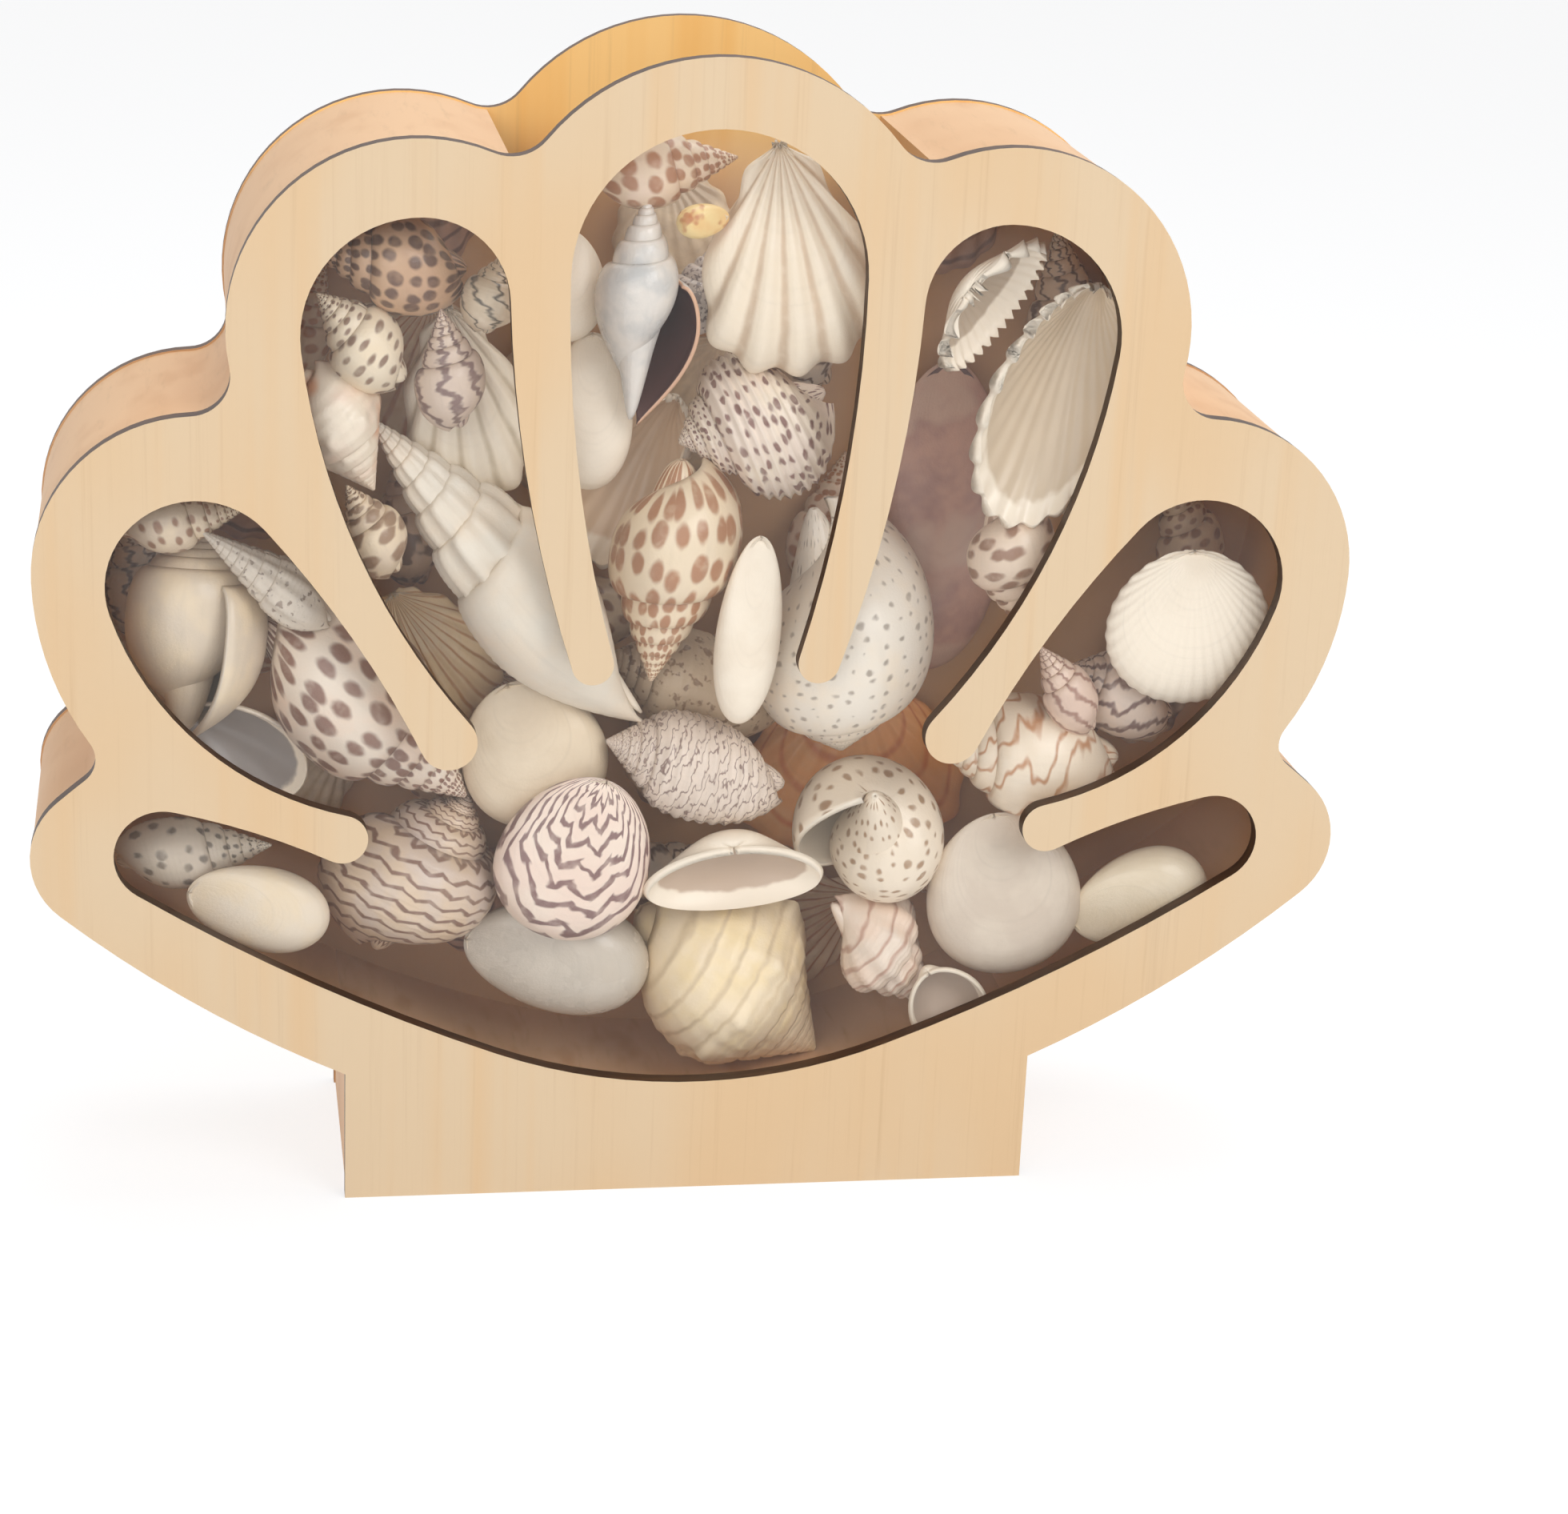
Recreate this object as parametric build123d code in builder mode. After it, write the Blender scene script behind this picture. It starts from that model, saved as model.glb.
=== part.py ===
from build123d import *
from math import atan2, cos, hypot, pi, radians, sin, sqrt
import os

# A free-standing wooden display case in the outline of a scallop, filled with seashells.
# The frame: +X to the right, -Y towards the viewer, +Z up. The origin lies under the middle
# of the foot. All sizes are millimetres, and all angles are degrees.

# ---------------------------------------------------------------- driving dimensions: the case
case_depth = 68.0
front_thickness = 4.0
back_thickness = 3.0
window_thickness = 2.0
band_thickness = 4.0
band_inset = 0.4
window_clearance = 0.2
foot_width = 163.0
foot_wall_thickness = 4.0
foot_join_height = 45.0

# Lobes of the outline, as circles: x, z and radius.
top_lobe = (0.0, 218.5, 50.0)
upper_lobe = (65.5, 208.0, 42.0)
side_lobe = (113.5, 152.5, 36.5)
ear_lobe = (134.0, 86.5, 18.0)
ear_notch = (143.5, 110.5, 6.5)
base_curve = (0.0, 157.0, 146.0)
top_valley_radius = 10.0
upper_valley_radius = 9.0
side_flank_radius = 70.0
ear_shoulder_radius = 200.0
lower_flank_radius = 280.0

# The petal-shaped openings of the front panel, as circles: x, z and radius.
top_petal = (0.0, 220.0, 33.0)
upper_petal_inner = (65.0, 214.0, 19.0)
upper_petal_radius = 26.5
side_petal = (114.2, 150.0, 20.0)
ear_petal = (122.5, 86.8, 11.0)
base_rim_width = 16.5
inner_bar_tip = (26.0, 131.5, 4.8)
middle_bar_tip = (58.3, 113.2, 6.5)
outer_bar_tip = (82.2, 90.3, 5.8)
top_petal_flank = 315.0
inner_bar_flank = 315.0
upper_petal_flank = 162.0
middle_bar_flank = 238.0
side_petal_flank = 72.0
outer_bar_flank = 162.0
base_petal_flank = 450.0

# ---------------------------------------------------------------- derived places of the case
front_y = -case_depth / 2
window_y = front_y + front_thickness
inside_y = window_y + window_thickness
back_y = case_depth / 2 - back_thickness
band_depth = back_y - window_y
foot_wall_x = foot_width / 2 - band_inset


def meet(first, first_reach, second, second_reach, side):
    """The point at two given distances from two centres, right (1) or left (-1) of their line."""
    span = hypot(second[0] - first[0], second[1] - first[1])
    ux = (second[0] - first[0]) / span
    uz = (second[1] - first[1]) / span
    along = (first_reach**2 - second_reach**2 + span**2) / (2 * span)
    away = sqrt(first_reach**2 - along**2) * side
    return first[0] + along * ux + away * uz, first[1] + along * uz - away * ux


def hollow(circle):
    """The same circle, followed on its outside: the outline bends inwards there."""
    return circle[0], circle[1], -circle[2]


def bridge(first, radius, second):
    """The circle of the given signed radius that touches two others, as a smooth flank."""
    side = 1 if radius > 0 else -1
    x, z = meet(first, abs(radius - first[2]), second, abs(radius - second[2]), side)
    return x, z, radius


def smooth_chain(*items):
    """Half an outline from the top centre clockwise: circles, with flank radii between them."""
    chain = []
    for index, item in enumerate(items):
        if isinstance(item, tuple):
            chain.append(item)
        else:
            chain.append(bridge(items[index - 1], item, items[index + 1]))
    return chain


def touching_point(first, second):
    spread = second[2] - first[2]
    x = (first[0] * second[2] - second[0] * first[2]) / spread
    z = (first[1] * second[2] - second[1] * first[2]) / spread
    return x, z


def trace(chain, inset=0.0):
    """Draws the half outline, moved inwards by inset, and mirrors it into a closed one."""
    circles = [(x, z, radius - inset) for x, z, radius in chain]
    x, z, radius = circles[0]
    corners = [(x, z + radius)]
    for first, second in zip(circles, circles[1:]):
        corners.append(touching_point(first, second))
    x, z, radius = circles[-1]
    corners.append((x, z - radius))
    for (x, z, radius), start, end in zip(circles, corners, corners[1:]):
        turn = 1 if radius > 0 else -1
        start_angle = atan2(start[1] - z, start[0] - x)
        end_angle = atan2(end[1] - z, end[0] - x)
        sweep = (start_angle - end_angle) * turn % (2 * pi)
        middle_angle = start_angle - turn * sweep / 2
        middle = (x + abs(radius) * cos(middle_angle), z + abs(radius) * sin(middle_angle))
        ThreePointArc(start, middle, end)
    mirror(about=Plane.YZ)


def smooth_face(chain, inset=0.0):
    """The face inside a traced outline, in the front plane's own x and z."""
    with BuildSketch() as face:
        with BuildLine():
            trace(chain, inset)
        make_face()
    return face.sketch


case_outline = smooth_chain(
    top_lobe,
    -top_valley_radius,
    upper_lobe,
    -upper_valley_radius,
    side_lobe,
    side_flank_radius,
    hollow(ear_notch),
    ear_shoulder_radius,
    ear_lobe,
    lower_flank_radius,
    base_curve,
)
upper_petal_outer = (
    upper_petal_inner[0],
    upper_petal_inner[1] + upper_petal_inner[2] - upper_petal_radius,
    upper_petal_radius,
)
petal_outline = smooth_chain(
    top_petal,
    top_petal_flank,
    hollow(inner_bar_tip),
    -inner_bar_flank,
    upper_petal_inner,
    upper_petal_outer,
    upper_petal_flank,
    hollow(middle_bar_tip),
    middle_bar_flank,
    side_petal,
    side_petal_flank,
    hollow(outer_bar_tip),
    outer_bar_flank,
    ear_petal,
    base_petal_flank,
    (base_curve[0], base_curve[1], base_curve[2] - base_rim_width),
)
valley = case_outline[1]
band_end_x = valley[0]
case_top = top_lobe[1] + top_lobe[2]
case_half_width = side_lobe[0] + side_lobe[2] + ear_lobe[2]
floor_zone_top = ear_lobe[1]


def upright(y):
    """The plane parallel to the front face at the given y, facing the viewer."""
    return Plane.XZ.offset(-y)


# ---------------------------------------------------------------- the case
with BuildSketch() as footed:
    add(smooth_face(case_outline))
    with Locations((0, foot_join_height / 2)):
        Rectangle(foot_width, foot_join_height)
footed_outline = footed.sketch

with BuildPart() as front_panel:
    with BuildSketch(upright(front_y)):
        add(footed_outline)
        add(smooth_face(petal_outline), mode=Mode.SUBTRACT)
    extrude(amount=-front_thickness)

with BuildPart() as clear_window:
    with BuildSketch(upright(window_y)):
        add(smooth_face(case_outline, band_inset + band_thickness + window_clearance))
    extrude(amount=-window_thickness)

with BuildPart() as back_panel:
    with BuildSketch(upright(back_y)):
        add(footed_outline)
    extrude(amount=-back_thickness)

with BuildSketch() as band_ring:
    add(smooth_face(case_outline, band_inset))
    add(smooth_face(case_outline, band_inset + band_thickness), mode=Mode.SUBTRACT)


def side_band(side):
    """A bent band from the valley beside the top lobe down to the foot, on one side."""
    with BuildPart() as band:
        with BuildSketch(upright(window_y)):
            add(band_ring.sketch)
            with Locations((side * (band_end_x + case_half_width / 2), case_top / 2)):
                Rectangle(case_half_width, case_top, mode=Mode.INTERSECT)
            with Locations((side * foot_wall_x / 2, floor_zone_top / 2)):
                Rectangle(foot_wall_x, floor_zone_top, mode=Mode.SUBTRACT)
        extrude(amount=-band_depth)
    return band.part


with BuildPart() as floor_strip:
    with BuildSketch(upright(window_y)):
        add(band_ring.sketch)
        with Locations((0, floor_zone_top / 2)):
            Rectangle(2 * foot_wall_x, floor_zone_top, mode=Mode.INTERSECT)
    extrude(amount=-band_depth)


def foot_wall(side):
    """An upright side of the foot, cut to the curve of the floor strip that lies on it."""
    with BuildPart() as wall:
        with BuildSketch(upright(window_y)):
            with Locations((side * (foot_wall_x - foot_wall_thickness / 2), foot_join_height / 2)):
                Rectangle(foot_wall_thickness, foot_join_height)
            add(smooth_face(case_outline, band_inset), mode=Mode.SUBTRACT)
        extrude(amount=-band_depth)
    return wall.part


case_parts = {
    "front_panel": front_panel.part,
    "clear_window": clear_window.part,
    "back_panel": back_panel.part,
    "left_side_band": side_band(-1),
    "right_side_band": side_band(1),
    "floor_strip": floor_strip.part,
    "left_foot_wall": foot_wall(-1),
    "right_foot_wall": foot_wall(1),
}

# ---------------------------------------------------------------- the seashells
# Each shell has its centre (x, z), its depth and its own sizes. A depth counts from the inner
# face of the clear window to the shell's centre. The shells in front lie against the window
# instead, and the hindmost against the back panel. A turn is counter-clockwise as the viewer
# sees it, from +X. A lean tips that direction towards the viewer.
rest_gap = 0.4


def shell_plane(at, turn, lean=0.0):
    """A plane through the shell's centre: X along the shell, Z towards the viewer."""
    across, towards = cos(radians(lean)), sin(radians(lean))
    ahead = (cos(radians(turn)), sin(radians(turn)))
    return Plane(
        origin=(at[0], inside_y, at[1]),
        x_dir=(across * ahead[0], -towards, across * ahead[1]),
        z_dir=(-towards * ahead[0], -across, -towards * ahead[1]),
    )


# Shares of a coiled shell's own length or width, and the radius of its blunt tip.
canal_share = 0.10
suture_share = 0.62
shoulder_drop = 0.18
shoulder_bulge = 0.03
whorl_ratio = 0.70
whorl_bulge = 0.16
whorl_roundness = 0.12
mouth_floor = 0.15
mouth_middle = 0.62
mouth_aside = 0.12
mouth_reach = 0.20
apex_radius = 0.3


def coiled_shell(plane, length, width, spire, whorls, belly, mouth=0.0):
    """A snail shell: a body whorl and a spire of bulging whorls, turned about its axis.

    spire is the share of the length above the body whorl, belly how far the lower body
    swells beyond a cone, and mouth the share of the length that the opening takes.
    """
    shoulder = length / 2 - spire * length
    widest = shoulder - shoulder_drop * width
    tip_radius = canal_share * width
    suture_radius = suture_share * width / 2
    steps = [whorl_ratio**index for index in range(whorls)]
    with BuildPart() as shell:
        with BuildSketch(plane):
            with BuildLine():
                Line((-length / 2, 0), (-length / 2, tip_radius))
                lower_middle = (
                    (widest - length / 2) / 2,
                    (tip_radius + width / 2) / 2 + belly * width,
                )
                ThreePointArc((-length / 2, tip_radius), lower_middle, (widest, width / 2))
                upper_middle = (
                    (widest + shoulder) / 2,
                    (width / 2 + suture_radius) / 2 + shoulder_bulge * width,
                )
                ThreePointArc((widest, width / 2), upper_middle, (shoulder, suture_radius))
                low, low_radius = shoulder, suture_radius
                for index in range(whorls):
                    high = low + spire * length * steps[index] / sum(steps)
                    left_share = (length / 2 - high) / (spire * length)
                    high_radius = apex_radius + (suture_radius - apex_radius) * max(left_share, 0)
                    bulge = whorl_bulge * (high - low) + whorl_roundness * low_radius
                    middle = ((low + high) / 2, (low_radius + high_radius) / 2 + bulge)
                    ThreePointArc((low, low_radius), middle, (high, high_radius))
                    low, low_radius = high, high_radius
                Line((low, low_radius), (low, 0))
                Line((low, 0), (-length / 2, 0))
            make_face()
        revolve(axis=Axis(plane.origin, plane.x_dir))
        if mouth:
            with BuildSketch(plane.offset(mouth_floor * width)):
                with Locations((-length / 2 + mouth * length * mouth_middle, -width * mouth_aside)):
                    Ellipse(mouth * length / 2, width * mouth_reach)
            extrude(amount=width, mode=Mode.SUBTRACT)
    return shell.part


section_angles = range(-72, 73, 12)
beak_shift = 0.22


def clam_shell(plane, length, width, thickness):
    """Two closed smooth valves: ovals stacked through the thickness, leaning to the beak."""
    with BuildPart() as shell:
        for angle in section_angles:
            share = cos(radians(angle))
            height = thickness / 2 * sin(radians(angle)) / sin(radians(section_angles[-1]))
            shift = beak_shift * length * (1 - share)
            with BuildSketch(plane.offset(height)):
                with Locations((shift, 0)):
                    Ellipse(length / 2 * share, width / 2 * share)
        loft(ruled=True)
    return shell.part


rib_depth = 0.035
beak_taper = 0.25
beak_place = 0.42


def ribbed_outline(length, width, ribs, scale_share, inset=0.0):
    """The face of a scalloped fan, shrunk towards its beak at +X."""
    points = []
    for index in range(2 * ribs):
        angle = pi * index / ribs
        swell = 1 + rib_depth * (1 if index % 2 else -1) * (1 - cos(angle)) / 2
        reach_x = (length / 2 - inset) * swell * cos(angle)
        reach_y = (width / 2 - inset) * swell * sin(angle) * (1 - beak_taper * cos(angle))
        beak_x = beak_place * length
        points.append((beak_x + scale_share * (reach_x - beak_x), scale_share * reach_y))
    with BuildSketch() as fan:
        with BuildLine():
            for index in range(0, 2 * ribs, 2):
                next_groove = (index + 2) % (2 * ribs)
                ThreePointArc(points[index], points[index + 1], points[next_groove])
        make_face()
    return fan.sketch


def cockle_shell(plane, length, width, thickness, ribs):
    """Two closed ribbed valves, whose ribs run from the beak to the scalloped margin."""
    with BuildPart() as shell:
        for angle in section_angles:
            share = cos(radians(angle))
            height = thickness / 2 * sin(radians(angle)) / sin(radians(section_angles[-1]))
            with BuildSketch(plane.offset(height)):
                add(ribbed_outline(length, width, ribs, share))
        loft(ruled=True)
    return shell.part


valve_wall = 1.6
open_angles = range(0, 71, 14)


def open_valve(plane, length, width, height, ribs=0):
    """One empty valve, a bowl with its hollow towards the viewer."""
    with BuildPart() as shell:
        for wall, mode in ((0.0, Mode.ADD), (valve_wall, Mode.SUBTRACT)):
            for angle in open_angles:
                share = cos(radians(angle))
                sink = (height - wall) * sin(radians(angle)) / sin(radians(open_angles[-1]))
                with BuildSketch(plane.offset(height / 2 - sink)):
                    if ribs:
                        add(ribbed_outline(length, width, ribs, share, wall))
                    else:
                        with Locations((beak_shift * length * (1 - share), 0)):
                            Ellipse((length / 2 - wall) * share, (width / 2 - wall) * share)
            loft(ruled=True, mode=mode)
    return shell.part


# name: (x, z), depth, turn, lean, then length, width, spire, whorls, belly, mouth
coiled_shells = {
    "spotted_snail_top": ((-12, 241), 16, 8, 0, 34, 18, 0.42, 4, 0.10, 0),
    "grey_whelk": ((-14, 209), "window", 87, 0, 48, 22, 0.40, 5, 0.04, 0.42),
    "mauve_snail_small": ((-1, 211), 24.5, 70, 0, 24, 14, 0.35, 3, 0.10, 0),
    "speckled_turban": ((13, 182), "window", 200, 0, 34, 33, 0.22, 3, 0.12, 0),
    "striped_snail_middle": ((-5, 147), "window", 264, 0, 51, 28, 0.42, 4, 0.10, 0),
    "dark_snail": ((-72, 219), 12.2, 172, 0, 34, 21, 0.40, 4, 0.10, 0),
    "striped_cone": ((-49, 214), "window", 75, 0, 18, 13, 0.30, 3, 0.08, 0),
    "dotted_snail": ((-78, 202), "window", 135, 0, 26, 17, 0.42, 4, 0.10, 0),
    "banded_snail": ((-58, 196), "window", 100, 0, 26, 15, 0.40, 4, 0.08, 0),
    "rosy_whelk": ((-82, 182), "window", 300, 0, 30, 20, 0.40, 4, 0.06, 0),
    "long_spindle": ((-44, 147), "window", 132, 0, 90, 30, 0.42, 6, 0.02, 0),
    "brown_snail_small": ((-75, 159), "window", 120, 0, 22, 14, 0.40, 4, 0.08, 0),
    "spotted_snail_side": ((-118, 161), 11.1, 10, 0, 27, 14, 0.40, 4, 0.10, 0),
    "grey_cerith": ((-99, 148), "window", 144, 0, 34, 13, 0.55, 6, 0.06, 0),
    "cream_whelk": ((-115, 134), "window", 84, -20, 46, 29, 0.24, 3, 0.08, 0.62),
    "brown_snail_large": ((-75, 115), "window", 317, 0, 61, 34, 0.38, 5, 0.10, 0),
    "grey_snail_ear": ((-116, 80), 14.7, 5, 0, 34, 16, 0.38, 4, 0.10, 0),
    "striped_turban": ((-66, 71), "window", 60, 0, 42, 38, 0.22, 3, 0.12, 0),
    "speckled_cone": ((1, 98), "window", 165, 0, 42, 24, 0.22, 3, 0.10, 0),
    "brown_cone_behind": ((3, 112), 34, 165, 0, 42, 24, 0.22, 3, 0.10, 0),
    "knobby_whelk": ((14, 43), "window", 320, 0, 56, 45, 0.28, 4, 0.10, 0),
    "end_on_snail": ((43, 82), "window", 20, 68, 34, 34, 0.22, 3, 0.12, 0.4),
    "rosy_whelk_small": ((49, 51.5), "window", 314, 0, 35, 23, 0.42, 4, 0.06, 0),
    "moon_shell": ((36, 130), "window", 279, 0, 58, 42, 0.14, 2, 0.14, 0),
    "orange_tip_snail": ((74, 150), "window", 285, 0, 30, 20, 0.42, 4, 0.10, 0),
    "flame_snail": ((82, 100), "window", 175, 0, 43, 28, 0.26, 3, 0.10, 0),
    "purple_cone": ((104, 113.8), 18.4, 155, 0, 28, 18, 0.24, 3, 0.08, 0),
    "pink_snail_small": ((88, 120), "window", 125, 0, 24, 12, 0.35, 3, 0.08, 0),
}

# name: (x, z), depth, turn, lean, then length, width, thickness
clam_shells = {
    "white_clam_behind_bar": ((-32, 213), 20.0, 90, 0, 24, 18, 12),
    "white_clam_tall": ((-25, 184), 20.0, 90, 0, 34, 18, 12),
    "round_cream_clam": ((-36, 101), 20.9, 110, 0, 34, 32, 15),
    "zigzag_clam": ((-28, 79), "window", 70, 0, 38, 34, 16),
    "smooth_grey_clam": ((-30, 50), 19, 168, 0, 42, 26, 20),
    "purple_clam": ((64, 150), "back", 88, 0, 72, 32, 14),
    "grey_clam": ((77, 68), "window", 100, 0, 38, 35, 18),
    "oval_cream_clam": ((110, 67), "window", 200, 0, 32, 22, 14),
    "white_disc": ((116, 136), "window", 90, 0, 35, 37, 10),
    "cream_clam_ear": ((-101, 69), "window", 165, 0, 31, 19, 10),
    "yellow_clam_small": ((-3, 231), "window", 10, 0, 11, 7, 7),
}

# name: (x, z), depth, turn, lean, then length, width, thickness, ribs
cockle_shells = {
    "tall_cockle": ((18, 222), "window", 97, 0, 50, 37, 19, 18),
    "grey_cockle": ((-53, 184), 26.5, 100, 0, 44, 28, 16, 16),
    "tan_cockle": ((-60, 120), 39, 120, 0, 34, 30, 12, 16),
    "orange_scallop": ((46, 86), "back", 90, 0, 46, 54, 12, 14),
}

# name: (x, z), depth, turn, lean, then length, width, height, ribs
open_valves = {
    "crenulated_valve": ((-14, 165), 33.5, 60, 0, 44, 24, 10, 14),
    "inside_valve": ((10, 77), "window", 95, 20, 20, 40, 10, 0),
    "serrated_valve": ((80, 190), "window", 72, 0, 56, 30, 12, 20),
    "crimped_valve": ((62, 214), "window", 145, 40, 20, 34, 8, 12),
    "glassy_valve": ((-105, 104), 18.4, 150, 0, 32, 20, 8, 0),
    "crescent_valve": ((11, 136), "window", 85, 0, 42, 14, 9, 0),
    "broken_valve": ((63, 42), "window", 120, 0, 20, 18, 7, 0),
}

# Small shells that lie against the back panel and show between the others.
# (x, z), turn, then length, width, spire, whorls, belly
snails_behind = [
    ((-33, 233), 200, 28, 14, 0.42, 4, 0.10),
    ((28, 196), 120, 30, 15, 0.40, 4, 0.10),
    ((-92, 196), 70, 32, 16, 0.40, 4, 0.10),
    ((-64, 150), 100, 32, 16, 0.38, 4, 0.10),
    ((-22, 126), 210, 34, 17, 0.38, 4, 0.10),
    ((-128, 138), 95, 32, 16, 0.40, 4, 0.10),
    ((-98, 124), 60, 30, 15, 0.40, 4, 0.10),
    ((-124, 84), 170, 26, 14, 0.40, 4, 0.10),
    ((-60, 92), 130, 34, 17, 0.40, 4, 0.10),
    ((0, 58), 20, 34, 17, 0.38, 4, 0.10),
    ((80, 56), 190, 32, 16, 0.40, 4, 0.10),
    ((96, 89), 40, 32, 16, 0.40, 4, 0.10),
    ((128, 146), 110, 32, 16, 0.40, 4, 0.10),
    ((92, 204), 100, 34, 17, 0.40, 4, 0.10),
    ((36, 150), 80, 32, 16, 0.40, 4, 0.10),
]
# (x, z), turn, then length, width, thickness
clams_behind = [
    ((-2, 218), 100, 32, 28, 13),
    ((-64, 226), 60, 34, 30, 13),
    ((-62, 186), 80, 34, 28, 12),
    ((-30, 176), 95, 38, 28, 12),
    ((4, 178), 70, 32, 28, 13),
    ((-100, 162), 50, 34, 28, 13),
    ((-36, 96), 120, 34, 28, 12),
    ((4, 92), 100, 34, 28, 13),
    ((-92, 84), 40, 32, 26, 12),
    ((-48, 52), 160, 36, 26, 13),
    ((34, 42), 30, 34, 26, 13),
    ((119, 106), 80, 28, 22, 12),
    ((104, 164), 120, 34, 28, 13),
    ((60, 228), 70, 34, 30, 13),
]


def seat(shell, depth):
    """Moves a shell back to its depth, or until it lies against the window or the back."""
    span = shell.bounding_box()
    if depth == "window":
        shift = inside_y + rest_gap - span.min.Y
    elif depth == "back":
        shift = back_y - rest_gap - span.max.Y
    else:
        shift = depth
    return Pos(0, shift, 0) * shell


def shell_group(make, entries):
    """Separate shells that share one node, each against the back panel."""
    return Compound([seat(make(shell_plane(at, turn), *sizes), "back") for at, turn, *sizes in entries])


def build_shells():
    """All seashells by name, each a solid of its own."""
    makers = (
        (coiled_shell, coiled_shells),
        (clam_shell, clam_shells),
        (cockle_shell, cockle_shells),
        (open_valve, open_valves),
    )
    shells = {}
    for make, table in makers:
        for name, (at, depth, turn, lean, *sizes) in table.items():
            shells[name] = seat(make(shell_plane(at, turn, lean), *sizes), depth)
    shells["snails_behind"] = shell_group(coiled_shell, snails_behind)
    shells["clams_behind"] = shell_group(clam_shell, clams_behind)
    return shells


os.makedirs("parts", exist_ok=True)
for label, piece in {**case_parts, **build_shells()}.items():
    piece.label = label
    export_step(piece, f"parts/{label}.step")
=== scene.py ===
"""The looks of a seashell display case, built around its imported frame.

Lengths are millimetres in the tables and functions, and metres in the finished meshes.
Each seashell is grown by a formula: a coiled shell is one whorl that grows round its axis, and
a valve is one margin that grows away from its beak.
"""

from math import cos, log, pi, radians, sin, tau

import bmesh
import bpy
import numpy as np
from mathutils import Matrix, Vector


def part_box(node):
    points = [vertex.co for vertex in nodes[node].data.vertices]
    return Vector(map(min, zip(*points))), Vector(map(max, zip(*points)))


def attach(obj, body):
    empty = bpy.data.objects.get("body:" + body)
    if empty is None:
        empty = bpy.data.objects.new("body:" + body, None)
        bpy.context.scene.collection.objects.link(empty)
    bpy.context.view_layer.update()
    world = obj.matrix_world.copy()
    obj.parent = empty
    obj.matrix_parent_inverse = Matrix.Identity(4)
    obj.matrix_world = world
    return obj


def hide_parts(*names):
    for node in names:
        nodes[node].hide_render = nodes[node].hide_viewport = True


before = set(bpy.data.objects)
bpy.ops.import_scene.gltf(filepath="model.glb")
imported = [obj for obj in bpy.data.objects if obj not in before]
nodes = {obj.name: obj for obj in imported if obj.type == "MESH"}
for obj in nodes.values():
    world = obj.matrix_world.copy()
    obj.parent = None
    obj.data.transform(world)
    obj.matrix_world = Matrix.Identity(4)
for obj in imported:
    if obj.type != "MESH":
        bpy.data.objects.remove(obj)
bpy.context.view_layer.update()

mm = 0.001
body = "root"


# ---------------------------------------------------------------- camera
# The photograph's width and the lens's focal length, both in its pixels
photo_width = 1960
focal_pixels = 4423
sensor_width = 36.0
camera_place = (-115, -792, 378)
camera_yaw, camera_pitch, camera_roll = 10.01, 19.27, 2.59


def add_camera():
    """The camera at the photograph's place, turned to its yaw, pitch and roll."""
    yaw, pitch, roll = radians(camera_yaw), radians(camera_pitch), radians(camera_roll)
    ahead = Vector((sin(yaw) * cos(pitch), cos(yaw) * cos(pitch), -sin(pitch)))
    level_right = ahead.cross(Vector((0, 0, 1))).normalized()
    level_up = level_right.cross(ahead)
    right = cos(roll) * level_right + sin(roll) * level_up
    up = cos(roll) * level_up - sin(roll) * level_right
    lens = bpy.data.cameras.new("camera")
    lens.sensor_width = sensor_width
    lens.lens = focal_pixels / photo_width * sensor_width
    camera = bpy.data.objects.new("camera", lens)
    turned = Matrix((right, up, -ahead)).transposed().to_4x4()
    camera.matrix_world = Matrix.Translation(Vector(camera_place) * mm) @ turned
    bpy.context.scene.collection.objects.link(camera)
    bpy.context.scene.camera = camera


# ---------------------------------------------------------------- shader building
def linear(red, green, blue):
    """A colour as it shows on screen, 0 to 255, as the shader's linear colour, by the sRGB curve."""
    shares = [value / 255 for value in (red, green, blue)]
    straight = [share / 12.92 for share in shares]
    curved = [((share + 0.055) / 1.055) ** 2.4 for share in shares]
    chosen = [low if share <= 0.04045 else high for share, low, high in zip(shares, straight, curved)]
    return chosen + [1.0]


# The colour sockets of a Mix node, which share their names with its number sockets
mix_share, mix_first, mix_second, mix_result = 0, 6, 7, 2


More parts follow.
